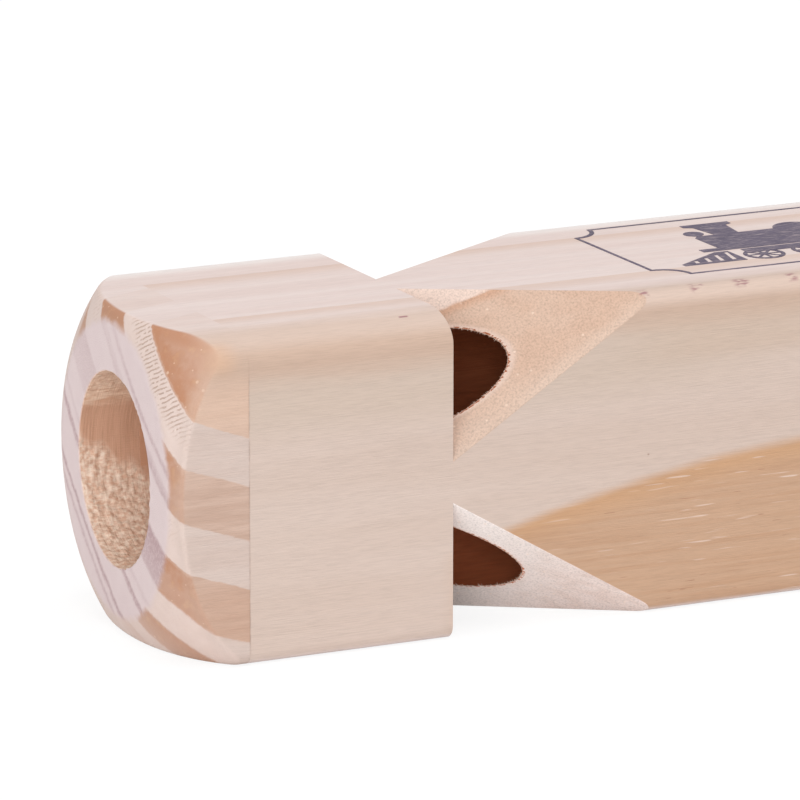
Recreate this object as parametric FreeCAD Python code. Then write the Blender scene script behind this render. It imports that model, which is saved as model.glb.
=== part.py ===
import FreeCAD, Part
import math
import os

from FreeCAD import Vector

# A wooden train whistle: a square stick with four bored pipes, a glued mouthpiece block turned
# round at its front, and a dowel plug in each pipe. Sizes are millimetres.
# The whistle lies along X with its mouthpiece at low X. Near is low Y, far is high Y.
# Everything is first modelled with X counted from the glue joint and with Y and Z from the
# stick's centre line. The export moves it so that the origin is the middle of the underside.

# Stick
SECTION = 38.0
BODY_LENGTH = 182.0
HEAD_LENGTH = 25.4
BACK_EDGE_ROUND = 1.2

# Rounding of the long edges. The near top edge is sanded more across the top than down the side.
NEAR_TOP_HEAD_ROUND_ACROSS = 6.2
NEAR_TOP_HEAD_ROUND_UP = 3.4
NEAR_TOP_BODY_ROUND = 2.0
FAR_TOP_ROUND = 3.2
NEAR_BOTTOM_ROUND = 1.7
FAR_BOTTOM_ROUND = 2.4

# Pipes: one bit for all four, each set in from the side and from the top or bottom of its corner
PIPE_RADIUS = 6.9
NEAR_TOP_PIPE = {"inset_across": 9.6, "inset_up": 10.7, "depth": 165.0}
NEAR_BOTTOM_PIPE = {"inset_across": 9.4, "inset_up": 10.1, "depth": 150.0}
FAR_TOP_PIPE = {"inset_across": 9.7, "inset_up": 9.7, "depth": 136.0}
FAR_BOTTOM_PIPE = {"inset_across": 9.7, "inset_up": 9.7, "depth": 124.0}

# Windows: a square saw cut behind the head, and a slope that rises from it to the long edge.
# The cut reaches this far across the top or bottom and this far up or down the side.
NEAR_TOP_WINDOW = {"reach_across": 14.7, "reach_up": 17.0, "slope_length": 26.6}
NEAR_BOTTOM_WINDOW = {"reach_across": 17.3, "reach_up": 16.0, "slope_length": 26.9}
FAR_TOP_WINDOW = {"reach_across": 17.9, "reach_up": 16.2, "slope_length": 29.6}
FAR_BOTTOM_WINDOW = {"reach_across": 16.4, "reach_up": 16.4, "slope_length": 27.0}

# Mouthpiece block: its front is turned slightly out of square, set back at the far side.
# FACE_DEPTH is its thickness on the axis, and the bevel is a shallow arc behind the flat rim.
# The blowing hole runs on into the stick as a wind chamber that opens into all the pipes.
FACE_DEPTH = 8.25
FACE_TILT_DEG = 2.9
AXIS_LIFT = 0.4
MOUTH_RADIUS = 11.3
CHAMBER_DEPTH = 8.0
RIM_INSET = 2.0
BEVEL_WIDTH = 8.5
BEVEL_SETBACK = 6.8
BEVEL_BULGE = 0.9

# Fipple plugs: flush with the saw cut, and a flat towards the corner leaves the windway open
PLUG_LENGTH = 15.4
PLUG_CLEARANCE = 0.1
WINDWAY_HEIGHT = 1.6

# Each corner's direction across and up, with what is cut there
CORNERS = {
    "near_top": {"across": -1, "up": 1, "pipe": NEAR_TOP_PIPE, "window": NEAR_TOP_WINDOW},
    "near_bottom": {"across": -1, "up": -1, "pipe": NEAR_BOTTOM_PIPE, "window": NEAR_BOTTOM_WINDOW},
    "far_top": {"across": 1, "up": 1, "pipe": FAR_TOP_PIPE, "window": FAR_TOP_WINDOW},
    "far_bottom": {"across": 1, "up": -1, "pipe": FAR_BOTTOM_PIPE, "window": FAR_BOTTOM_WINDOW},
}

HALF = SECTION / 2.0
RIM_RADIUS = HALF - RIM_INSET
LENGTHWISE = Vector(1, 0, 0)
STOCK = 0.5 * SECTION


def edge_rounding(across, up, round_across, round_up):
    """Where the rounding of one long edge leaves the side and the level face, and its curve."""
    centre = Vector(0, across * (HALF - round_across), up * (HALF - round_up))
    on_side = centre + Vector(0, across * round_across, 0)
    on_level = centre + Vector(0, 0, up * round_up)
    quarter = math.pi / 2.0
    if round_across == round_up:
        towards_edge = Vector(0, across, up).normalize()
        curve = Part.Arc(on_side, centre + towards_edge * round_up, on_level)
    elif round_across > round_up:
        curve = Part.ArcOfEllipse(Part.Ellipse(on_side, on_level, centre), 0.0, quarter)
    else:
        curve = Part.ArcOfEllipse(Part.Ellipse(on_level, on_side, centre), 0.0, quarter)
    return on_side, on_level, curve.toShape()


def stick_prism(near_top_across, near_top_up, start, length):
    """A length of the square stick with its four rounded long edges."""
    near_top = edge_rounding(-1, 1, near_top_across, near_top_up)
    far_top = edge_rounding(1, 1, FAR_TOP_ROUND, FAR_TOP_ROUND)
    far_bottom = edge_rounding(1, -1, FAR_BOTTOM_ROUND, FAR_BOTTOM_ROUND)
    near_bottom = edge_rounding(-1, -1, NEAR_BOTTOM_ROUND, NEAR_BOTTOM_ROUND)
    section = Part.Wire([
        near_top[2],
        Part.makeLine(near_top[1], far_top[1]),
        far_top[2],
        Part.makeLine(far_top[0], far_bottom[0]),
        far_bottom[2],
        Part.makeLine(far_bottom[1], near_bottom[1]),
        near_bottom[2],
        Part.makeLine(near_bottom[0], near_top[0]),
    ])
    prism = Part.Face(section).extrude(LENGTHWISE * length)
    prism.translate(LENGTHWISE * start)
    return prism


def pipe_centre(corner):
    """Centre of a pipe's mouth, at the glue joint."""
    across = corner["across"] * (HALF - corner["pipe"]["inset_across"])
    up = corner["up"] * (HALF - corner["pipe"]["inset_up"])
    return Vector(0, across, up)


def pipe_bore(corner):
    """Flat-bottomed pipe, bored from the front end of the stick."""
    return Part.makeCylinder(PIPE_RADIUS, corner["pipe"]["depth"], pipe_centre(corner), LENGTHWISE)


def blowing_hole(start, length):
    """Stretch of the blowing hole, which the mouthpiece and the stick's wind chamber share."""
    return Part.makeCylinder(MOUTH_RADIUS, length, Vector(start, 0, AXIS_LIFT), LENGTHWISE)


def window_cutter(corner):
    """Wedge between the square saw cut and the slope that runs out on the long edge.

    Both faces pass through the saw line, from the side face to the level face. The wedge is
    doubled about the middle of that line, so that its third face stays clear of the stick.
    """
    window = corner["window"]
    long_edge = Vector(HEAD_LENGTH, corner["across"] * HALF, corner["up"] * HALF)
    on_side = long_edge - Vector(0, 0, corner["up"] * window["reach_up"])
    on_level = long_edge - Vector(0, corner["across"] * window["reach_across"], 0)
    run_out = long_edge + LENGTHWISE * window["slope_length"]
    saw_line = on_level - on_side
    root = (on_side + on_level) * 0.5
    past_edge = root + (long_edge - root) * 2.0
    past_run_out = root + (run_out - root) * 2.0
    triangle = Part.Face(Part.makePolygon([root, past_edge, past_run_out, root]))
    triangle.translate(-saw_line)
    return triangle.extrude(saw_line * 2.0)


def body_block():
    """The stick: head band, windows, pipes, wind chamber and a closed back end with eased edges."""
    head = stick_prism(NEAR_TOP_HEAD_ROUND_ACROSS, NEAR_TOP_HEAD_ROUND_UP, 0.0, HEAD_LENGTH)
    body = stick_prism(NEAR_TOP_BODY_ROUND, NEAR_TOP_BODY_ROUND, HEAD_LENGTH, BODY_LENGTH - HEAD_LENGTH)
    back_face = max(body.Faces, key=lambda face: face.CenterOfMass.x)
    body = body.makeFillet(BACK_EDGE_ROUND, back_face.Edges)
    body = body.cut([window_cutter(corner) for corner in CORNERS.values()])
    stick = head.fuse(body)
    stick = stick.cut([pipe_bore(corner) for corner in CORNERS.values()])
    return stick.cut(blowing_hole(0.0, CHAMBER_DEPTH)).removeSplitter()


def turned_form():
    """What the lathe leaves of the mouthpiece: flat face, bevel, and stock that reaches past the joint."""
    centre = Vector(0, 0, 0)
    turning_axis = Vector(0, 0, 1)
    rim = Vector(RIM_RADIUS, 0, 0)
    bevel_chord = Vector(BEVEL_WIDTH, 0, BEVEL_SETBACK)
    bulge_direction = Vector(BEVEL_SETBACK, 0, -BEVEL_WIDTH).normalize()
    bevel_end = rim + bevel_chord
    bevel = Part.Arc(rim, rim + bevel_chord * 0.5 + bulge_direction * BEVEL_BULGE, bevel_end)
    leaving = bevel.tangent(bevel.LastParameter)[0]
    past_corner = bevel_end + leaving * STOCK
    outer_back = past_corner + turning_axis * FACE_DEPTH
    axis_back = Vector(0, 0, outer_back.z)
    outline = Part.Wire([
        Part.makeLine(centre, rim),
        bevel.toShape(),
        Part.makeLine(bevel_end, past_corner),
        Part.makeLine(past_corner, outer_back),
        Part.makeLine(outer_back, axis_back),
        Part.makeLine(axis_back, centre),
    ])
    form = Part.Face(outline).revolve(centre, turning_axis, 360)
    form.rotate(centre, Vector(0, 1, 0), 90)
    form.rotate(centre, Vector(0, 0, 1), -FACE_TILT_DEG)
    form.translate(Vector(-FACE_DEPTH, 0, AXIS_LIFT))
    return form


def mouthpiece_block():
    """Short block with the stick's section, turned round in front and bored through."""
    block = stick_prism(NEAR_TOP_HEAD_ROUND_ACROSS, NEAR_TOP_HEAD_ROUND_UP, -STOCK, STOCK)
    return block.common(turned_form()).cut(blowing_hole(-STOCK, STOCK))


def fipple_plug(corner):
    """Dowel in one pipe, with a flat that leaves the windway open towards the corner."""
    start = pipe_centre(corner) + LENGTHWISE * (HEAD_LENGTH - PLUG_LENGTH)
    dowel = Part.makeCylinder(PIPE_RADIUS - PLUG_CLEARANCE, PLUG_LENGTH, start, LENGTHWISE)
    windway = Part.makeBox(PLUG_LENGTH, PIPE_RADIUS, 2.0 * PIPE_RADIUS)
    windway.translate(Vector(0, PIPE_RADIUS - WINDWAY_HEIGHT, -PIPE_RADIUS))
    towards_corner = math.degrees(math.atan2(corner["up"], corner["across"]))
    windway.rotate(Vector(0, 0, 0), LENGTHWISE, towards_corner)
    windway.translate(start)
    return dowel.cut(windway)


def front_reach():
    """How far the foremost point of the tilted rim lies in front of the glue joint."""
    return FACE_DEPTH + RIM_RADIUS * math.sin(math.radians(FACE_TILT_DEG))


def main():
    pieces = {"body_block": body_block(), "mouthpiece_block": mouthpiece_block()}
    for name, corner in CORNERS.items():
        pieces["fipple_plug_" + name] = fipple_plug(corner)
    to_underside = Vector((front_reach() - BODY_LENGTH) / 2.0, 0, HALF)
    os.makedirs("parts", exist_ok=True)
    for name, shape in pieces.items():
        shape.translate(to_underside)
        shape.exportStep("parts/" + name + ".step")
        print(name, len(shape.Solids), "solid, valid", shape.isValid(), "volume", round(shape.Volume, 1))
    print("glue joint at x", round(to_underside.x, 3))


main()
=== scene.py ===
# %% [markdown]
# # A wooden train whistle
# The whistle is a square stick of pine. Four pipes are bored into it from the front, and a sloping
# notch opens each pipe to a window at one long corner. A short mouthpiece block, turned round in
# front, is glued on. The solids come from the CAD frame and give every size. This lesson dresses
# them: it gives the wood its grain, tears the grain where a cutter tore it, and stamps a small
# steam engine on the top.

# %% Load the frame
import math

import bpy
import numpy as np
from mathutils import Matrix, Vector


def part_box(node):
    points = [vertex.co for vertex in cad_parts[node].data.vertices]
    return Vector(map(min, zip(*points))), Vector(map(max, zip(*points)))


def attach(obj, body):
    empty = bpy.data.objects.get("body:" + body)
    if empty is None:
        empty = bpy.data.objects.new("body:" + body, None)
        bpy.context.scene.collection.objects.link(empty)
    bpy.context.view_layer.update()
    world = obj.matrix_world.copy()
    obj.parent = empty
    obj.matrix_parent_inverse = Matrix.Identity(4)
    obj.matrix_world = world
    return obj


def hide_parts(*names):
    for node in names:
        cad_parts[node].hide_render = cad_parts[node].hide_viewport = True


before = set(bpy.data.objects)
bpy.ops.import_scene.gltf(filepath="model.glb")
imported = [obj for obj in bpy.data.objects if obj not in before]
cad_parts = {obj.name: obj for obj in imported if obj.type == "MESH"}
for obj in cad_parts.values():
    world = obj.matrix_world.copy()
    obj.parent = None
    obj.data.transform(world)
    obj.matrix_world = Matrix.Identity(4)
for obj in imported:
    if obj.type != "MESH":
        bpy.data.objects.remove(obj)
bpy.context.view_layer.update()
print("nodes:", ", ".join(sorted(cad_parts)))

# %% [markdown]
# A woodworker measures from the glue joint and from the stick's centre line, so the notes below do
# the same, in millimetres. A helper turns such a measure into the frame's metres, and another puts
# a new piece, lamp or camera into the scene.

# %% Measure from the glue joint
MM = 0.001
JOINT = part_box("body_block")[0][0] / MM
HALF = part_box("body_block")[1][1] / MM
BODY_LENGTH = (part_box("body_block")[1][0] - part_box("body_block")[0][0]) / MM
HEAD = 25.4


def in_frame(points):
    """Points in millimetres from the glue joint and centre line, as metres in the frame."""
    return (np.asarray(points, float) + (JOINT, 0.0, HALF)) * MM


def into_scene(name, data):
    """A new object that shows a mesh, a lamp or a camera, in the scene."""
    made = bpy.data.objects.new(name, data)
    bpy.context.scene.collection.objects.link(made)
    return made


print("glue joint at x", round(JOINT, 2), "mm, half section", round(HALF, 2), "mm")

# %% [markdown]
# The photograph was taken from far away with a long lens, so the edges of the stick run almost
# parallel. The camera stands to the left of the near side and looks slightly down.

# %% Place the camera
CAMERA_PLACE = (-320.1, -714.0, 201.4)
CAMERA_TURN = math.radians(25.988)
CAMERA_DIP = math.radians(13.913)
LENS = 318.4


def place_camera():
    """A camera whose right, up and back directions are the columns of its matrix."""
    right = Vector((math.cos(CAMERA_TURN), -math.sin(CAMERA_TURN), 0.0))
    ahead = Vector((
        math.sin(CAMERA_TURN) * math.cos(CAMERA_DIP),
        math.cos(CAMERA_TURN) * math.cos(CAMERA_DIP),
        -math.sin(CAMERA_DIP),
    ))
    up = right.cross(ahead)
    lens = bpy.data.cameras.new("long_lens")
    lens.lens = LENS
    lens.sensor_width = 36.0
    lens.clip_end = 10.0
    camera = into_scene("long_lens", lens)
    turn = Matrix((right, up, -ahead)).transposed().to_4x4()
    camera.matrix_world = Matrix.Translation(in_frame([CAMERA_PLACE])[0]) @ turn
    bpy.context.scene.camera = camera
    return camera


camera = place_camera()
print("camera at", [round(v, 3) for v in camera.matrix_world.translation])

# %% [markdown]
# Shader maths is easier to read as arithmetic than as a list of nodes. This small class wraps one
# socket. Plus, minus, times and divide on it add Math nodes, and `node` adds any other node. A plain
# number comes first only in a difference or a quotient. The same class builds the Geometry Nodes
# trees, because both kinds of tree work alike.

# %% A socket that does arithmetic
class Flow:
    """One socket of a node tree, on which arithmetic adds Math nodes."""

    def __init__(self, tree, socket=None):
        self.tree = tree
        self.socket = socket

    def node(self, kind, settings=None, inputs=None, output=0):
        """Adds any node: its settings first, then the values or links of its sockets."""
        made = self.tree.nodes.new(kind)
        for name, value in (settings or {}).items():
            if name == "stops":
                fill_ramp(made.color_ramp, value)
            elif name == "curve":
                fill_curve(made.mapping, value)
            else:
                setattr(made, name, value)
        for name, value in (inputs or {}).items():
            if isinstance(value, Flow):
                self.tree.links.new(value.socket, made.inputs[name])
            else:
                made.inputs[name].default_value = value
        return Flow(self.tree, made.outputs[output] if made.outputs else None)

    def maths(self, operation, *values):
        return self.node("ShaderNodeMath", {"operation": operation}, dict(enumerate(values)))

    def __add__(self, other):
        return self.maths("ADD", self, other)

    def __sub__(self, other):
        return self.maths("SUBTRACT", self, other)

    def __rsub__(self, other):
        return self.maths("SUBTRACT", other, self)

    def __mul__(self, other):
        return self.maths("MULTIPLY", self, other)

    def __truediv__(self, other):
        return self.maths("DIVIDE", self, other)

    def __rtruediv__(self, other):
        return self.maths("DIVIDE", other, self)


def fill_ramp(ramp, stops):
    """Sets a ramp's stops, each a place and a grey value."""
    while len(ramp.elements) < len(stops):
        ramp.elements.new(0.5)
    for element, (place, grey) in zip(ramp.elements, stops):
        element.position = place
        element.color = (grey, grey, grey, 1.0)


def fill_curve(mapping, points):
    """Sets the points of a curve node."""
    line = mapping.curves[0]
    while len(line.points) < len(points):
        line.points.new(0.5, 0.5)
    for point, place in zip(line.points, points):
        point.location = place
    mapping.update()


print("arithmetic on sockets is ready")

# %% [markdown]
# A few more words are used all the time: a soft step between two values, the larger of two, how far
# apart two are, the distance from a line along the stick, a blend of two colours, a tint by a grey,
# a streak that is drawn out along the grain, scattered dots, and a colour as the photograph has it.

# %% Words for colour and grain
def step(value, start, end):
    """0 at start and 1 at end, with a soft change between them."""
    return value.node("ShaderNodeMapRange", {"interpolation_type": "SMOOTHSTEP"},
                      {0: value, 1: start, 2: end})


def larger(first, second):
    """The larger of two values."""
    return first.maths("MAXIMUM", first, second)


def apart(value, number):
    """How far a value is from a number, on either side."""
    return value.maths("ABSOLUTE", value - number)


def distance(y, z, across, up):
    """Distance from the line along the stick that passes at this across and up."""
    return y.maths("SQRT", y.maths("POWER", y - across, 2.0) + z.maths("POWER", z - up, 2.0))


def blend(mask, first, second):
    """The first colour where the mask is 0, the second where it is 1."""
    return mask.node("ShaderNodeMix", {"data_type": "RGBA"},
                     {0: mask, 6: first, 7: second}, output=2)


def tinted(colour, grey):
    """A colour made darker or lighter by a grey."""
    return grey.node("ShaderNodeMix", {"data_type": "RGBA", "blend_type": "MULTIPLY"},
                     {0: 1.0, 6: colour, 7: grey}, output=2)


def streaks(place, length, width, detail=3.0, seed=0.0):
    """Noise in which one streak is about this long and wide, in millimetres."""
    drawn = place.node("ShaderNodeVectorMath", {"operation": "MULTIPLY_ADD"},
                       {0: place, 1: (1 / length, 1 / width, 1 / width), 2: (seed, seed, seed)})
    return place.node("ShaderNodeTexNoise", {},
                      {"Vector": drawn, "Scale": 1.0, "Detail": detail, "Roughness": 0.55})


def dots(place, spacing, length=1.0):
    """Distance to the nearest of scattered points, as a share of their spacing."""
    drawn = place.node("ShaderNodeVectorMath", {"operation": "MULTIPLY"},
                       {0: place, 1: (1 / (spacing * length), 1 / spacing, 1 / spacing)})
    return place.node("ShaderNodeTexVoronoi", {}, {"Vector": drawn, "Scale": 1.0})


def seen(red, green, blue):
    """A colour in the photograph's 0 to 255 numbers, as the linear colour that a shader takes."""
    return tuple(((c / 255 + 0.055) / 1.055) ** 2.4 for c in (red, green, blue)) + (1.0,)


print("early wood", [round(c, 2) for c in seen(216, 196, 185)])

# %% [markdown]
# Every finish starts in the same way: a fresh material, a place in millimetres from the glue joint
# and the centre line, and at the end one shader that takes the colour, the roughness and a bump.
# Raw sanded wood has no coat, so its gloss is low and broad.

# %% Start and end a finish
def new_finish(name):
    """A fresh material, and the place on the piece in millimetres from joint and centre line."""
    finish = bpy.data.materials.new(name)
    finish.use_nodes = True
    finish.node_tree.nodes.clear()
    start = Flow(finish.node_tree)
    place = start.node("ShaderNodeTexCoord", output="Object")
    place = start.node("ShaderNodeVectorMath", {"operation": "MULTIPLY_ADD"},
                       {0: place, 1: (1000.0, 1000.0, 1000.0), 2: (-JOINT, 0.0, -HALF)})
    return finish, place


def axes(place):
    """The three numbers of a place."""
    split = place.node("ShaderNodeSeparateXYZ", {}, {0: place})
    outputs = split.socket.node.outputs
    return [Flow(place.tree, outputs[i]) for i in range(3)]


def close_finish(finish, colour, height, roughness, depth=0.0001, gloss=0.25):
    """Ends a finish in one shader. The height's full range is this depth, in metres."""
    bump = height.node("ShaderNodeBump", {}, {"Strength": 1.0, "Distance": depth, "Height": height})
    shader = height.node("ShaderNodeBsdfPrincipled", {}, {
        "Base Color": colour, "Roughness": roughness, "Specular IOR Level": gloss, "Normal": bump})
    height.node("ShaderNodeOutputMaterial", {}, {"Surface": shader})
    print(finish.name, "has", len(finish.node_tree.nodes), "nodes")
    return finish

# %% [markdown]
# ## The stick
# One board can look like several woods. The near side was sawn almost along a growth ring, so a
# brown tongue of late wood lies in its pale face. The top cuts the rings more squarely and shows
# them as bands. The notches cut the fibres across, and cut ends look speckled. The finish
# therefore asks first which face a point lies on. The slopes are known planes, so the distance from
# such a plane tells whether a point is on it. The pipes and the wind chamber are known rounds.

# %% Where the faces of the stick are
NOTCHES = {
    "near_top": {"across": -1, "up": 1, "reach": (14.7, 17.0), "slope": 26.6},
    "near_bottom": {"across": -1, "up": -1, "reach": (17.3, 16.0), "slope": 26.9},
    "far_top": {"across": 1, "up": 1, "reach": (17.9, 16.2), "slope": 29.6},
    "far_bottom": {"across": 1, "up": -1, "reach": (16.4, 16.4), "slope": 27.0},
}
PIPES = {
    "near_top": (-9.4, 8.3), "near_bottom": (-9.6, -8.9),
    "far_top": (9.3, 9.3), "far_bottom": (9.3, -9.3),
}
PIPE_RADIUS = 6.9
AXIS_LIFT = 0.4
MOUTH_RADIUS = 11.3
CHAMBER_DEPTH = 8.0


def above_slope(x, y, z, notch):
    """Height of a point over a notch's slope, in millimetres, for numbers or for sockets."""
    a, u = notch["reach"]
    s = notch["slope"]
    level = (HALF - y * notch["across"]) / a + (HALF - z * notch["up"]) / u + (x - HEAD) / s - 1.0
    return level * (-1.0 / math.sqrt(a ** -2 + u ** -2 + s ** -2))


def on_slope(x, y, z, notch):
    """1 on the slope of a notch, and 0 on every other face."""
    off = apart(above_slope(x, y, z, notch), 0.0)
    return step(off, 0.09, 0.04) * step(x, HEAD - 0.02, HEAD + 0.02)


for name, notch in NOTCHES.items():
    print(name, "slope passes", round(above_slope(HEAD, 0.0, 0.0, notch), 2), "mm from the axis")

# %% [markdown]
# The growth rings are tubes round the pith, which lay outside the board on its near side. A ring's
# late wood darkens slowly outwards and then stops at a sharp edge, where the next spring began. One
# number, the ring's phase, gives that for any point, and so the bands meet at the edges of the
# stick as they do on real wood.

# %% Growth rings of the stick
STICK_PITH = (-62.0, -9.7)
STICK_RING = 17.5
STICK_RING_EDGE = 60.0


def stick_rings(place, x, y, z):
    """Late wood of the stick's growth rings, from 0 in spring wood to 1 at a ring's edge."""
    wander = streaks(place, 90.0, 30.0, 1.0, 4.0) - 0.5
    radius = distance(y, z, *STICK_PITH) + wander * 1.6 - x * 0.008
    phase = x.maths("FRACT", (radius - STICK_RING_EDGE) / STICK_RING + 8.0)
    return step(phase, 0.78, 0.97) * step(phase, 1.0, 0.985) + step(phase, 0.45, 0.9) * 0.12


BROWN_EDGE = [(20, -9.8), (28, -8.0), (32, -6.9), (40, -4.9), (50, -2.9), (60, -1.3),
              (70, -0.3), (95, 1.6), (125, 1.0), (155, -2.5), (182, -8.0)]


def under_brown_edge(place, x, z):
    """How far a point of the near side lies below the edge of the brown tongue."""
    points = [(along / 200.0, (up + 20.0) / 30.0) for along, up in BROWN_EDGE]
    edge = x.node("ShaderNodeFloatCurve", {"curve": points}, {"Value": x / 200.0})
    ragged = (streaks(place, 9.0, 0.5, 2.0, 7.0) - 0.5) * 0.7
    return edge * 30.0 - 20.0 - z + ragged


print("ring edge meets the top at y", [round(STICK_PITH[0] + math.sqrt(
    (STICK_RING_EDGE + k * STICK_RING) ** 2 - (HALF - STICK_PITH[1]) ** 2), 1) for k in (0, 1)])

# %% [markdown]
# Now the colours of each face, built as small functions. Each takes the place and gives a colour.
# The fibres are the same everywhere: fine pale and grey streaks along the stick.

# %% Long faces of the stick
def fibre_tone(place, colour, strength=0.07):
    """Lays fine fibres on a colour: a little darker and lighter along the grain."""
    fine = streaks(place, 2.2, 0.11, 3.0, 1.0)
    broad = streaks(place, 45.0, 0.9, 2.0, 2.0)
    grey = fine.node("ShaderNodeValToRGB", {"stops": [
        (0.0, 1.0 - strength), (0.5, 1.0), (1.0, 1.0 + strength * 0.5)]},
        {0: step(fine * 0.8 + broad * 0.2, 0.3, 0.7)})
    return tinted(colour, grey)


def tan_and_shaded_edge(place, colour, x, y, z):
    """Tans the sanded near top edge, which is broad on the head and narrow behind it, and darkens
    its rounding with painted shade.
    """
    corner = z - y - step(x, HEAD - 0.1, HEAD + 0.1) * 1.9
    uneven = (streaks(place, 14.0, 1.2, 2.0, 23.0) - 0.5) * 1.6
    # The tan is partly the sanded wood's colour and partly painted shade, which tones down the light
    # from above on the rounded edge.
    tan = blend(step(z, 16.6, 18.4), seen(201, 174, 156), seen(215, 192, 178))
    return blend(step(corner + uneven, 30.8, 34.7), colour, tan)


def near_side(place, x, z):
    """The pale near side with its brown tongue, white flecks and dark resin lines."""
    shade = step(streaks(place, 60.0, 5.0, 2.0, 3.0), 0.3, 0.7)
    pale = blend(shade, seen(213, 194, 183), seen(209, 189, 177))
    pale = blend(step(z, 4.5, 11.0) * step(x, 78.0, 50.0), pale, seen(206, 187, 173))
    pore = step(dots(place, 9.0, 1.3), 0.016, 0.008)
    pale = blend(pore * 0.6, pale, seen(160, 128, 112))
    pale = blend(step(z, 13.5, 16.5) * 0.75, pale, seen(205, 180, 163))
    pale = blend(step(x, 42.0, 58.0) * step(z, 9.5, 12.0) * 0.55, pale, seen(203, 180, 162))
    under = under_brown_edge(place, x, z)
    brown = blend(step(under, 4.5, 0.0), seen(200, 165, 138), seen(203, 161, 125))
    brown = blend(step(streaks(place, 22.0, 0.6, 3.0, 11.0), 0.42, 0.7) * 0.4,
                  brown, seen(188, 146, 115))
    fleck = step(streaks(place, 6.0, 0.36, 1.0, 21.0), 0.65, 0.76)
    brown = blend(fleck * (step(x, 40.0, 64.0) * 0.45 + 0.25), brown, seen(234, 214, 202))
    dash = step(streaks(place, 3.0, 0.18, 1.0, 35.0), 0.74, 0.78)
    brown = blend(dash * 0.5, brown, seen(150, 100, 80))
    mask = step(under, -0.8, 0.8) * step(x, 23.5, 31.0)
    return blend(mask, pale, brown)


def spring_wood_and_lit_edge(place, y, z):
    """Pinkish spring wood of the top, the far side and the bottom, with a painted highlight that
    whitens the far top edge.
    """
    shade = step(streaks(place, 70.0, 3.0, 2.0, 5.0), 0.3, 0.7)
    pink = blend(shade, seen(235, 219, 214), seen(230, 211, 205))
    # Painted light: the rounded far top edge is made lighter to offset the shade that falls on it.
    return blend(step(y, 12.5, 17.0) * step(z, 15.5, 17.5), pink, seen(245, 238, 235))


print("long faces are ready")

# %% [markdown]
# On a slope the cutter crossed the fibres, so each fibre shows its end. That looks like fine sand,
# with bright specks where a fibre was bruised. The near top notch lies in late wood and is orange;
# one corner of it, beyond the ring's edge, is pale. The other notches are in pale spring wood.

# %% Cut ends of the stick
def end_specks(place, colour, coarse=0.23):
    """Sandy cut ends on a colour, with a few bright specks."""
    sand = streaks(place, coarse, coarse, 2.0, 3.0)
    grey = sand.node("ShaderNodeValToRGB", {"stops": [
        (0.25, 0.78), (0.5, 1.0), (0.75, 1.12)]}, {0: sand})
    speck = step(dots(place, 1.4, 1.2), 0.13, 0.06)
    return blend(speck * 0.45, tinted(colour, grey), seen(246, 224, 206))


def orange_slope(place, x, y, z):
    """The near top notch: orange late wood inside a ring's edge, pale beyond it."""
    wander = (streaks(place, 6.0, 2.0, 2.0, 9.0) - 0.5) * 1.2
    past_edge = distance(y, z, *STICK_PITH) + wander - STICK_RING_EDGE
    orange = blend(step(past_edge, -15.5, -9.0), seen(207, 183, 167), seen(205, 173, 152))
    cloud = step(streaks(place, 9.0, 2.5, 2.0, 14.0), 0.35, 0.65)
    orange = blend(cloud * 0.5, orange, seen(212, 184, 165))
    orange = blend(step(y, -17.6, -18.8) * step(x, 31.0, 38.0) * 0.35, orange, seen(218, 196, 180))
    orange = blend(step(past_edge, -1.6, -0.2), orange, seen(202, 162, 137))
    return blend(step(past_edge, -0.15, 0.25), orange, seen(228, 205, 192))


def pale_slope(place):
    """A notch in spring wood: lilac white with faint slanting streaks."""
    streak = step(streaks(place, 6.0, 1.1, 2.0, 13.0), 0.35, 0.7)
    return blend(streak, seen(234, 218, 212), seen(226, 207, 199))


print("cut ends are ready")

# %% [markdown]
# Work leaves its marks. A thin stain of glue shows at the joint, and a little ink smeared along the
# near top edge when the whistle was stamped. The bit scorched the pipes brown, but next to the wind
# chamber their walls are painted pale, as painted light in the deep shade there. The wind chamber
# was bored in one go with the blowing hole, so it has the colours of that hole's wall.

# %% Marks of the work
SMEARS = [(50.2, 0.8), (57.2, 1.3), (63.0, 1.4), (69.5, 1.0), (92.0, 1.3)]
NICK = (20.7, -15.7)


def smear_mask(place, x, y, z):
    """Faint ink smears along the near top edge, and one small dark nick on the head."""
    edge = step(y, -16.6, -17.6) * step(z, 18.2, 18.7)
    cloud = step(streaks(place, 1.5, 0.45, 2.0, 17.0), 0.42, 0.62)
    smears = [step(apart(x, along), wide, wide * 0.3) for along, wide in SMEARS]
    nick = step(apart(x, NICK[0]), 0.7, 0.4) * step(apart(y, NICK[1]), 0.22, 0.1)
    return sum(smears[1:], smears[0]) * edge * cloud + nick * step(z, 17.0, 17.5)


def glue_stain(place, x, z):
    """Uneven stain of glue squeezed out at the joint, and sanded away on the top."""
    uneven = step(streaks(place, 2.0, 2.4, 2.0, 30.0), 0.3, 0.65)
    return step(apart(x, 0.0), 0.16, 0.03) * uneven * step(z, 17.5, 13.0) * 0.3


def from_pipes(y, z):
    """Distance from the wall of the nearest pipe, in millimetres and less than 0 inside it."""
    walls = [distance(y, z, *centre) - PIPE_RADIUS for centre in PIPES.values()]
    nearest = walls[0]
    for wall in walls[1:]:
        nearest = nearest.maths("MINIMUM", nearest, wall)
    return nearest


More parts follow.
